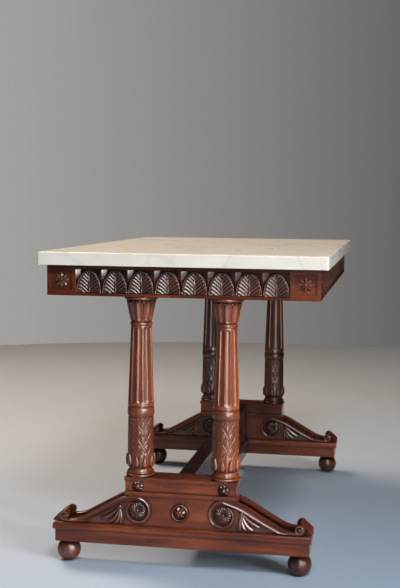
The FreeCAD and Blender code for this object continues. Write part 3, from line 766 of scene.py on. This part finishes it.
def fluteZone(foot, head):
    # round-nosed flutes on a tapered shaft, with shade painted in their hollows
    low, high = flute["footRadius"], flute["headRadius"]
    above, below = foot + flute["footRun"], head - flute["headRun"]  # rows are closer where the flutes end
    heights = spread(foot, above, flute["footRows"]) + spread(above, below, flute["rows"])[1:]
    heights += spread(below, head, flute["headRows"])[1:]

    def place(angle, height):
        base = low + (high - low) * (height - foot) / (head - foot)
        half = flute["share"] * pi / flute["copies"] * base
        past = max(0.0, height - (head - flute["headMargin"] - half),
                   foot + flute["footMargin"] + half - height)
        cut = sqrt(max(0.0, 1.0 - (abs(angle) * base / half) ** 2 - (past / half) ** 2))
        return polar(base - flute["deep"] * cut, angle, height), flute["paintedShade"] * cut

    return flute["copies"], heights, place


def carvedZone(spec, foot, head, relief):
    # relief gives the plain radius, how far the carving stands out there and how much shade is painted there,
    # t of the way up
    def place(angle, height):
        t = (height - foot) / (head - foot)
        base, out, depth = relief(angle, t)
        out *= clamp(t / spec["fadeFoot"]) * clamp((1 - t) / spec["fadeHead"])
        return polar(base + out, angle, height), depth
    return spec["copies"], spread(foot, head, spec["rows"]), place


def bellRelief(angle, t):
    # flaring petals side by side, with a small bud between their tips; shade is painted towards the petals'
    # tips and on the ground between them
    base = bell["foot"] + bell["flare"] * t - bell["close"] * t * t
    pitch = pi / bell["copies"]
    side = abs(angle) / pitch
    petal = bell["petal"] * hump(clamp((t - bell["shoulder"]) / bell["arch"]))
    if side < petal:
        past = t - bell["curlAt"]  # the tip curls outwards
        out = -bell["dish"] + bell["rim"] * (side / petal) ** bell["hollow"]
        out += bell["curl"] * clamp(past / bell["curlRun"]) ** 2
        return base, out, bell["polish"] + bell["paintedShade"] * clamp(past / bell["shadeRun"])
    near = hypot((1 - side) * pitch * base, (t - bell["budLevel"]) * column["bell"])
    if near > bell["bud"]:
        return base, -bell["ground"], 1.0
    return base, -bell["budFoot"] + bell["budRise"] * hump(near / bell["bud"]), 0.0


def trellisRelief(angle, t):
    # crossing straps that leave raised lozenges; shade is painted in the creases beside the straps
    rise, copies, strap = trellis["rise"], trellis["copies"], trellis["strap"]
    base = trellis["footRadius"] - trellis["taper"] * t
    across = angle * copies / (2 * pi)
    up = (t * column["drum"] - trellis["foot"]) / rise
    wide = 2 * pi * base / copies
    scale = rise * wide / hypot(rise, wide)
    near = min(abs(s - round(s)) for s in (up + across, up - across)) * scale
    if near < strap:
        out = -trellis["strapDeep"] + trellis["strapRise"] * hump(near / strap)
        return base, out, trellis["strapShade"]
    out = trellis["deep"] * (clamp((near - trellis["edge"]) / trellis["slope"]) ** 0.7 - 1)
    shut = 1 - clamp((near - strap) / trellis["shadeRun"])
    return base, out, column["oldPolish"] + trellis["paintedShade"] * shut


def cupPetals(t):
    # half widths of the drop and of the petal behind it, and how far up the drop this is
    up = (t - cup["dropFoot"]) / cup["dropTall"]
    low, point = cup["round"], cup["point"]
    drop = 0.0
    if 0.0 < up < low:
        drop = cup["dropWide"] * hump((low - up) / low)
    elif low <= up < 1.0:
        drop = cup["dropWide"] * (1 - ((up - low) / (1 - low)) ** point)
    second = cup["secondFoot"] + cup["secondWiden"] * t
    if t >= cup["secondHead"]:
        past = (t - cup["secondHead"]) / cup["secondTip"]
        second = cup["secondWide"] * max(0.0, 1 - past ** point)
    return drop, second, up


def cupRelief(angle, t):
    # drop-shaped petals over a second row; a petal of the second row stands in the middle of the sector
    # painted shade at the edges of the drops, on the petals behind them and on the bare ground
    base = cup["radius"] + cup["flare"] * t + cup["belly"] * sin(pi * clamp(t))
    side = 1 - abs(angle) / (pi / cup["copies"])
    drop, second, up = cupPetals(t)
    if side < drop:
        swell = sin(pi * clamp(0.22 + 0.7 * up)) ** 0.5
        out = cup["dropEdge"] + cup["dropRise"] * hump(side / drop) * swell
        return base, out, 0.3 * (side / drop) ** 4
    if 1 - side < second:
        share = (1 - side) / second
        return base, -cup["secondDeep"] + cup["secondRise"] * hump(share), 0.3 + 0.4 * share ** 2
    bare = 1 - clamp((t - cup["groundFrom"]) / cup["groundRun"])  # the ground rises to meet the drum
    return base, -cup["deep"] * bare, 0.1 + 0.9 * bare


def columnZones(tall):
    z = [0.0]
    for part in ("base", "cup", "drum", "groove", "bandRing", "groove"):
        z.append(z[-1] + column[part])
    shaftHead = tall - sum(column[part] for part in ("astragal", "bell", "abacusNeck", "abacus"))
    bellFoot = shaftHead + column["astragal"]
    bellHead = bellFoot + column["bell"]
    abacusFoot = bellHead + column["abacusNeck"]
    base = [(0.0, 0.0), (30.5, 0.0)] + roundRing(0.0, 7.2, 30.5, 34.0) + [(29.8, 7.2), (29.8, 7.8)]
    base += roundRing(7.8, 12.6, 29.6, 31.6) + [(29.2, 12.6), (29.2, 13.8), (28.0, 15.2), (27.3, 17.0)]
    base += [(27.2, 18.6), (27.7, 20.4), (29.0, 22.0), (30.6, z[1])]
    band = [(30.0, z[3]), (28.5, z[3] + 0.8), (28.5, z[4] - 0.8), (30.0, z[4]), (31.0, z[4] + 1.0),
            (31.0, z[5] - 1.0), (30.0, z[5]), (28.5, z[5] + 0.8), (28.5, z[6] - 0.8), (30.5, z[6])]
    neckRing = [(24.0, shaftHead), (22.5, shaftHead)] + roundRing(shaftHead, shaftHead + 8.0, 22.5, 26.0)
    neckRing += [(22.5, shaftHead + 9.0)] + roundRing(shaftHead + 9.0, bellFoot - 0.4, 22.5, 24.2, 4)
    neckRing += [(24.4, bellFoot)]
    crown = [(33.8, bellHead), (33.4, bellHead + 0.4), (33.4, abacusFoot), (38.0, abacusFoot)]
    crown += [(39.0, abacusFoot + 1.0), (39.0, tall - 1.0), (38.0, tall), (0.0, tall)]
    return [turnedZone(base), carvedZone(cup, z[1], z[2], cupRelief),
            carvedZone(trellis, z[2], z[3], trellisRelief), turnedZone(band), fluteZone(z[6], shaftHead),
            turnedZone(neckRing), carvedZone(bell, bellFoot, bellHead, bellRelief), turnedZone(crown)]


def makeColumns():
    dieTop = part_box("plinth_die_front")[1][2]
    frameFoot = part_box("end_rail_front")[0][2]
    stack = [carvedRing("columnZone", copies, column["turnSteps"] // copies, heights, place, "columnRear")
             for copies, heights, place in columnZones((frameFoot - dieTop) / mm)]
    original = smoothShade(weld(joinPieces(stack, "column")), 48)
    # the finishes paint in the light and shade each column lies in: lighter on the right front one, darker on
    # the left front and the rear ones
    places = []
    for end, half, finishLeft, finishRight in (("front", 0, "columnLeft", "columnRight"),
                                               ("rear", 180, "columnRear", "columnRear")):
        for side, finish in (("left", finishLeft), ("right", finishRight)):
            node = "column_%s_%s" % (end, side)
            x, y, z = centreOf(node)
            spin = turned(column[side + "Turn"] + half)
            places.append((node + "_carved", shifted(x, y, dieTop) @ spin, finish, node))
    placeCopies(original, places)


makeColumns()
print("columns carved")


# ball feet, turned with a small neck under the plank

ball = dict(radius=28.0, flat=5.3, neck=11.0, neckHeight=2.0, shoulder=1.16, rows=40, columns=4,
            copies=20)


def makeBallFeet():
    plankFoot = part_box("foot_plank_front")[0][2] / mm
    radius, neck = ball["radius"], ball["neck"]
    start = -acos(ball["flat"] / radius)
    turns = spread(start, ball["shoulder"], ball["rows"])
    outline = [(0.0, 0.0)] + [(radius * cos(a), plankFoot / 2 + radius * sin(a)) for a in turns]
    outline += [(neck, plankFoot - ball["neckHeight"]), (neck, plankFoot), (0.0, plankFoot)]
    original = smoothShade(weld(turnedRing("ball", ball["copies"], ball["columns"], outline)))
    places = []
    for corner in ("front_left", "front_right", "rear_left", "rear_right"):
        node = "ball_foot_" + corner
        x, y, z = centreOf(node)
        # painted shade: the balls other than the front left one get a darker wood
        finish = "ball" if corner == "front_left" else "ballDark"
        places.append(("ballFoot_" + corner, shifted(x, y, 0.0), finish, node))
    placeCopies(original, places)


makeBallFeet()
print("ball feet turned")


# scroll brackets: panel, two ridges that end in rolls, end leaf, bud and spray

bracket = dict(half=31.0, panelInset=3.0, panelEnd=22.0, panelEndRise=3.0, panelLeast=2.0, panelEdge=2.5,
               channel=13.0, ridgeWidth=14.0, ridgeHeight=9.0, ridgeLeast=4.6, ridgeCrown=2.0,
               ridgeProud=0.4, proud=5.0, seat=0.5, scrollTop=37.5, scrollReach=30.0, scrollDrop=0.0049,
               scrollFrom=420.0, scrollTo=95.0, scrollTight=8.5, scrollCoil=5.5, slopeFrom=28.0,
               slopeTo=100.0, slope=0.569, waistRun=14.0, waistLevel=6.4, boardGap=0.8, bandEye=3.0,
               bandTop=8.6, bandSwell=7.2, swellAt=45.0, swellRun=75.0, bead=2.4, beadMost=0.4,
               creaseWide=1.5, creaseFoot=1.8, creaseRise=0.4, creaseSeat=0.1, rollRadius=11.9,
               rollSet=25.5, rollRise=12.4, rollTurn=1.6, rollKeep=0.42, rollShrink=0.8, rollBand=4.6,
               rollTaper=0.5, eye=7.0, eyeRise=3.6, eyeDeep=8.0)
endLeaf = dict(ribs=5, wide=20.0, spread=11.0, set=25.0, tip=3.0, notch=0.45, head=23.0, drop=21.0,
               skin=0.2, ribRise=2.2, flatten=0.3, paintedShade=0.85, columns=50, rows=16, back=0.2)
spray = dict(bud=(13.0, 42.0, 6.4), farBud=(54.0, 14.5, 4.4),  # X, Z and radius
             fingers=(((11.5, 38.0), (7.0, 18.0), (11.0, 4.9), 3.8),  # root, bend, tip and radius
                      ((12.5, 38.0), (13.0, 12.0), (24.0, 4.8), 4.5),
                      ((14.0, 38.0), (22.0, 12.0), (40.0, 5.6), 4.7),
                      ((15.5, 40.0), (32.0, 22.0), (53.0, 14.0), 4.2)),
             steps=12, sides=8, least=0.25, lift=1.0, tipLift=1.8)


def bend(a, b, c, t):
    # a curve from a to c that is drawn towards b
    return (1 - t) ** 2 * a + 2 * t * (1 - t) * b + t * t * c


def scrollLine(rise):
    # the outer edge of the scroll's last turns, from its inner end to the top; X from the block's side, Z up
    points = []
    for angle in spread(bracket["scrollFrom"], bracket["scrollTo"], 44):
        turn = (angle - 90.0) / (bracket["scrollFrom"] - 90.0)  # 1 at the inner end, near 0 at the top
        inwards = bracket["scrollTight"] * turn ** 0.62 + bracket["scrollCoil"] * turn ** 2.0
        reach = bracket["scrollTop"] - inwards
        x, z, level = polar(reach, radians(angle), 0.0)
        points.append((x - bracket["scrollReach"], rise + z))
    return points


def ridgeLine(reach, rise):
    # the ridge's top edge: over the scroll, down the slope, flat at the waist
    top, start, slope = rise + bracket["scrollTop"], bracket["scrollReach"], bracket["slope"]
    first, last = bracket["slopeFrom"], bracket["slopeTo"]
    waist = reach - bracket["rollSet"] - bracket["waistRun"]
    points = [(x, top - bracket["scrollDrop"] * (x + start) ** 2) for x in spread(-start, first, 12)]
    high = points[-1][1]
    points += [(x, high - slope * (x - first)) for x in spread(first, last, 8)[1:]]
    low = points[-1][1]
    foot = low - slope * (waist - last) / 2
    for t in spread(0.0, 1.0, 8)[1:]:
        points.append((last + (waist - last) * t, bend(low, foot, bracket["waistLevel"], t)))
    return points


def rollThickness(t):
    return bracket["rollBand"] * (1 - bracket["rollTaper"] * t)


def rollLine(reach):
    # the ridge's end curls up and over into a roll; this is the band's inner side
    points = []
    wide, keep = bracket["rollRadius"] - rollThickness(0.0), bracket["rollKeep"]
    for t in spread(0.0, 1.0, 30)[1:]:
        angle = -pi / 2 + t * bracket["rollTurn"] * 2 * pi
        radius = wide * (1 - bracket["rollShrink"] * clamp((t - keep) / (1 - keep)))
        x, z, level = polar(radius, angle, 0.0)
        points.append((reach - bracket["rollSet"] + x, bracket["rollRise"] + z))
    return points


def bandProfile(width):
    # shares of the width and height: a bead along each edge and a hollow between, less on a narrow band
    bead = min(bracket["beadMost"], bracket["bead"] / width)
    floor = 0.35 + 0.6 * (bead / bracket["beadMost"]) ** 2
    half = [(0.0, 0.0), (0.12 * bead, 0.7), (0.45 * bead, 1.0), (bead, 0.5 + 0.5 * floor)]
    half.append((0.3 + 0.4 * bead, floor))
    return half + [(1 - share, rise) for share, rise in half[::-1]]


def layOnFace(name, line, sections, back, recess):
    # a section at each point of a line on a face: steps under the line, and rises off the face
    rings = []
    for i, x, z, run in alongLine(line):
        rings.append([(x + run[1] * step, -(back + rise), z - run[0] * step) for step, rise in sections[i]])
    return loftRings(name, rings, recess)


def creaseShade(line, widths, back):
    # a thin strip painted dark as the shade in the crease on both sides of the band
    foot, wide, rise = bracket["creaseFoot"], bracket["creaseWide"], bracket["creaseRise"]
    sections = [((-foot, 0.0), (-wide, rise), (width + wide, rise), (width + foot, 0.0)) for width in widths]
    return layOnFace("creaseShade", line, sections, back, [1.0] * 4 * len(line))


def scrollBand(line, widths, back, proud):
    # a moulded band laid on a face; line is its outer or upper edge
    profiles = [(width, bandProfile(width)) for width in widths]
    # painted shade in the band's hollow, deepest where the band is lowest
    recess = [clamp(1.15 - 1.25 * rise) for width, profile in profiles for share, rise in profile]
    sections = [[(width * share, proud * rise) for share, rise in profile] for width, profile in profiles]
    return layOnFace("scrollBand", line, sections, back, recess)


def ridgeBand(line, y0, y1, thickness):
    # a band of the given thickness under a line, with a rounded top across its width
    rings = []
    for i, x, z, run in alongLine(line):
        ring = []
        for t in spread(-1.0, 1.0, 8):
            lift = -bracket["ridgeCrown"] * (1 - hump(0.96 * t))
            ring.append((x - run[1] * lift, (y0 + y1) / 2 + (y1 - y0) / 2 * t, z + run[0] * lift))
        thick = thickness(i)
        ring += [(x + run[1] * thick, y, z - run[0] * thick) for y in (y1, y0)]
        rings.append(ring)
    recess = [0.0] * (len(rings[0]) - 2) + [0.6, 0.6]  # painted shade under the band
    return loftRings("ridge", rings, recess * len(rings))


def panelPiece(line, reach, half, depth):
    # the bracket's panel under the ridges, closed by the block and the board
    least = bracket["panelLeast"]
    top = [(0.0, line[6][1] - depth)] + [(x, max(least, z - depth)) for x, z in line if x > 0]
    rings = []
    for x, z in top + [(reach - bracket["panelEnd"], bracket["panelEndRise"])]:
        levels = [z, z - min(bracket["panelEdge"], z / 2), 0.0]
        rings.append([(x, -half, level) for level in levels] + [(x, half, level) for level in levels[::-1]])
    recess = [1.2, 0.4, 0.4, 0.4, 0.4, 1.2]  # painted shade on the panel's faces, darkest in the channel on top, where the gloss is taken off as well
    return loftRings("panel", rings, recess * len(rings))


def leafPiece(reach):
    # a ribbed leaf that leans on the rolls and slopes down over the end of the board
    def place(t, s):
        rib = hump(2 * ((t * endLeaf["ribs"]) % 1.0) - 1) if 0 < t < 1 else 0.0
        lobe = 1 - endLeaf["notch"] * (1 - rib)  # each rib ends in its own round tip
        x = reach - endLeaf["set"] + (endLeaf["set"] + endLeaf["tip"] * lobe) * s
        y = (endLeaf["wide"] + endLeaf["spread"] * s ** 0.7) * (2 * t - 1)
        z = endLeaf["head"] - endLeaf["drop"] * s ** 1.5
        z += (endLeaf["skin"] + endLeaf["ribRise"] * rib) * (1 - endLeaf["flatten"] * s)
        # painted shade between the ribs
        return (x, y, z), endLeaf["paintedShade"] * (1 - rib)

    sheet = carvedSheet("endLeaf", spread(0.0, 1.0, endLeaf["columns"]),
                        spread(0.0, 1.0, endLeaf["rows"]), place)
    return weld(sheet, backAt=endLeaf["back"] * mm, axis=2)


def taperedLobe(line, radii, lift):
    # a round lobe along a short line on the panel's face
    count = spray["sides"]
    rings = []
    for i, x, z, run in alongLine(line):
        sides = [polar(radii[i], 2 * pi * k / count, lift[i]) for k in range(count)]
        rings.append([(x + run[1] * a, -b - up, z - run[0] * a) for a, b, up in sides])
    return loftRings("lobe", rings, [0.0] * count * len(rings))


def sprayPieces(face):
    # a bud and the fingers of a drooping half leaf, on the panel's face
    pieces = []
    for x, z, radius in (spray["bud"], spray["farBud"]):
        outline = [(radius * sin(a), radius * cos(a)) for a in spread(0.0, pi, 10)]
        pieces.append(moveMesh(weld(turnedRing("bud", 8, 2, outline)), shifted(x * mm, face * mm, z * mm)))
    for (rootX, rootZ), (bendX, bendZ), (tipX, tipZ), width in spray["fingers"]:
        steps = spread(0.0, 1.0, spray["steps"])
        line = [(bend(rootX, bendX, tipX, t), bend(rootZ, bendZ, tipZ, t)) for t in steps]
        swell = [sin(pi * clamp(0.06 + 0.84 * t ** 1.4)) ** 0.7 for t in steps]
        radii = [width * (spray["least"] + (1 - spray["least"]) * s) for s in swell]
        lift = [spray["lift"] + spray["tipLift"] * t * t for t in steps]
        pieces.append(moveMesh(taperedLobe(line, radii, lift), shifted(0.0, face * mm, 0.0)))
    return pieces


def ridgeThickness(z, most):
    return min(most, max(bracket["ridgeLeast"], z - bracket["boardGap"]))  # thinner near the board


def bracketSide(reach, ridge, rise):
    # all that is carved on one face
    half, proud, seat = bracket["half"], bracket["proud"], bracket["seat"]
    scroll, roll = scrollLine(rise), rollLine(reach)
    outside = [(0.0, ridge[6][1] - 0.1)] + [p for p in ridge if p[0] > 0]  # point 6 is at the block's side

    def thick(i):
        if i >= len(outside):
            return rollThickness((i - len(outside)) / len(roll))
        return ridgeThickness(outside[i][1], bracket["ridgeHeight"])

    grow = bracket["bandTop"] - bracket["bandEye"]
    widths = [bracket["bandEye"] + grow * i / len(scroll) for i in range(len(scroll))]
    for x, z in ridge:  # the band widens on the slope
        swell = bracket["bandSwell"] * hump(clamp((x - bracket["swellAt"]) / bracket["swellRun"], -1.0, 1.0))
        widths.append(ridgeThickness(z, bracket["bandTop"] + swell))
    widths += [rollThickness(i / len(roll)) for i in range(len(roll))]
    pieces = [scrollBand(scroll + ridge + roll, widths, half - seat, proud + seat)]
    onBlock = [p for p in scroll + ridge if p[0] < -1.0]
    pieces.append(creaseShade(onBlock, widths, half - bracket["creaseSeat"]))
    front, back = -half - bracket["ridgeProud"], bracket["ridgeWidth"] - half - proud
    pieces.append(ridgeBand(outside + roll, front, back, thick))
    wide, deep = bracket["eye"], bracket["eyeDeep"]
    dome = [(wide * sin(a), bracket["eyeRise"] * cos(a)) for a in spread(0.0, pi / 2, 6)]
    eye = weld(turnedRing("eye", 12, 2, dome + [(wide, -deep), (0.0, -deep)]))
    middle = shifted((reach - bracket["rollSet"]) * mm, -half * mm, bracket["rollRise"] * mm)
    return pieces + [moveMesh(eye, middle @ faceFront)] + sprayPieces(bracket["panelInset"] - half)


def makeBrackets():
    low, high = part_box("scroll_bracket_front_right")
    reach = (high[0] - low[0]) / mm
    rise = (centreOf("volute_roundels")[2] - low[2]) / mm  # the scroll's centre above the board
    ridge = ridgeLine(reach, rise)
    pieces = bracketSide(reach, ridge, rise)
    pieces += [copyPiece(p, "rear", Matrix.Scale(-1, 4, (0, 1, 0))) for p in pieces]
    pieces.append(panelPiece(ridge, reach, bracket["half"] - bracket["panelInset"], bracket["channel"]))
    pieces.append(leafPiece(reach))
    original = smoothShade(joinPieces(pieces, "bracket"), 42)
    right = shifted(low[0], (low[1] + high[1]) / 2, low[2])
    left = Matrix.Scale(-1, 4, (1, 0, 0)) @ right
    corners = (("front_right", right), ("front_left", left), ("rear_left", turned(180) @ right),
               ("rear_right", turned(180) @ left))
    placeCopies(original, [("bracket_" + corner, place, "carving", "scroll_bracket_" + corner)
                           for corner, place in corners])


makeBrackets()
print("brackets carved")


# studio: pale floor, soft lights and the camera

studio = dict(floorRadius=3600.0, floorSides=96, nearShadeTone=(0.39, 0.51, 0.68), farLitTone=(0.57, 0.62, 0.69),
              toneRun=(-0.8, 1.0, 0.0), toneFrom=-1.2, toneTo=1.6, floorRoughness=0.55,
              wall=((0.0, 0.42), (0.33, 0.36), (0.50, 0.14), (1.0, 0.12)), wallTint=(1.0, 0.97, 0.94),
              wallLight=0.07, roomTint=(0.84, 0.93, 1.0))


def makeFloor():
    sides = studio["floorSides"]
    rim = [polar(studio["floorRadius"], 2 * pi * k / sides, 0.0) for k in range(sides)]
    floor = newPiece("floor", rim, [tuple(range(sides))])
    material, tree, shader, where = newMaterial("paleFloor")
    sockets = {0: where, 1: studio["toneRun"]}  # painted light and shade: darker and bluer at the near right, lighter and warmer at the far left
    away = addNode(tree, "ShaderNodeVectorMath", sockets, operation="DOT_PRODUCT").outputs["Value"]
    far = rescale(tree, away, studio["toneFrom"], studio["toneTo"])
    tone = blend(tree, far, studio["nearShadeTone"], studio["farLitTone"])
    setSockets(tree, shader, {"Base Color": tone, "Roughness": studio["floorRoughness"]})
    floor.data.materials.append(material)


daylight = (1.0, 0.99, 0.97)
lights = {  # place, aim, size, power, colour and, on a narrow one, its spread in degrees
    "frontTall": ((1.95, -1.6, 1.2), (0.0, -0.5, 0.6), (0.2, 2.3), 36.0, daylight),
    "glintStrip": ((0.9, -2.15, 1.2), (0.0, -0.5, 0.6), (0.24, 2.3), 48.0, daylight),
    "rightSoft": ((2.3, -2.3, 1.1), (-0.05, -0.65, 0.28), (0.8, 1.4), 2.2, (1.0, 0.98, 0.95), 28.0),
    "frontHigh": ((0.7, -2.5, 2.9), (0.0, -0.5, 0.3), (0.7, 0.7), 49.0, daylight),
    "aboveLeft": ((-1.9, 0.9, 3.3), (-0.5, 0.3, 0.0), (1.6, 1.6), 120.0, (1.0, 0.80, 0.62)),
}


def softLight(name, place, aim, size, power, colour, spreadAngle=180.0):
    lamp = bpy.data.lights.new(name, "AREA")
    lamp.shape = "RECTANGLE"
    lamp.size, lamp.size_y = size
    lamp.energy = power
    lamp.color = colour
    lamp.spread = radians(spreadAngle)
    light = addObject(name, lamp)
    light.location = place
    light.rotation_euler = (Vector(aim) - Vector(place)).to_track_quat("-Z", "Y").to_euler()
    return light


def makeLights():
    made = {name: softLight(name, *values) for name, values in lights.items()}
    made["frontTall"].visible_glossy = False
    made["glintStrip"].visible_diffuse = False  # only gives the gleam on the polish


def makeWall():
    # a plain wall that darkens to the right and gives less light than it shows
    world.use_nodes = True
    tree = world.node_tree
    where = addNode(tree, "ShaderNodeTexCoord").outputs["Generated"]
    across = addNode(tree, "ShaderNodeSeparateXYZ", {"Vector": where}).outputs["X"]
    stops = [(position, tuple(tone * c for c in studio["wallTint"])) for position, tone in studio["wall"]]
    colour = ramp(tree, rescale(tree, across, -1.0, 1.0), stops)
    seen = addNode(tree, "ShaderNodeLightPath").outputs["Is Camera Ray"]
    unseen = calc(tree, "SUBTRACT", 1.0, seen)
    tinted = blend(tree, unseen, colour, studio["roomTint"], blend_type="MULTIPLY")
    strength = rescale(tree, seen, 0.0, 1.0, studio["wallLight"])
    setSockets(tree, tree.nodes["Background"], {"Color": tinted, "Strength": strength})


view = dict(place=(0.4802, -2.9261, 0.8582), yaw=0.1801, pitch=0.0855, roll=0.00887, focalPixels=1081.06,
            imageHeight=588, sensor=36.0)


def makeCamera():
    lens = bpy.data.cameras.new("camera")
    lens.sensor_width = view["sensor"]
    lens.lens = view["focalPixels"] * view["sensor"] / view["imageHeight"]
    camera = addObject("camera", lens)
    aim = Matrix.Rotation(view["yaw"], 4, "Z") @ Matrix.Rotation(pi / 2 - view["pitch"], 4, "X")
    camera.matrix_world = shifted(*view["place"]) @ aim @ Matrix.Rotation(view["roll"], 4, "Z")
    scene.camera = camera


makeFloor()
makeLights()
makeWall()
makeCamera()
print("studio set")
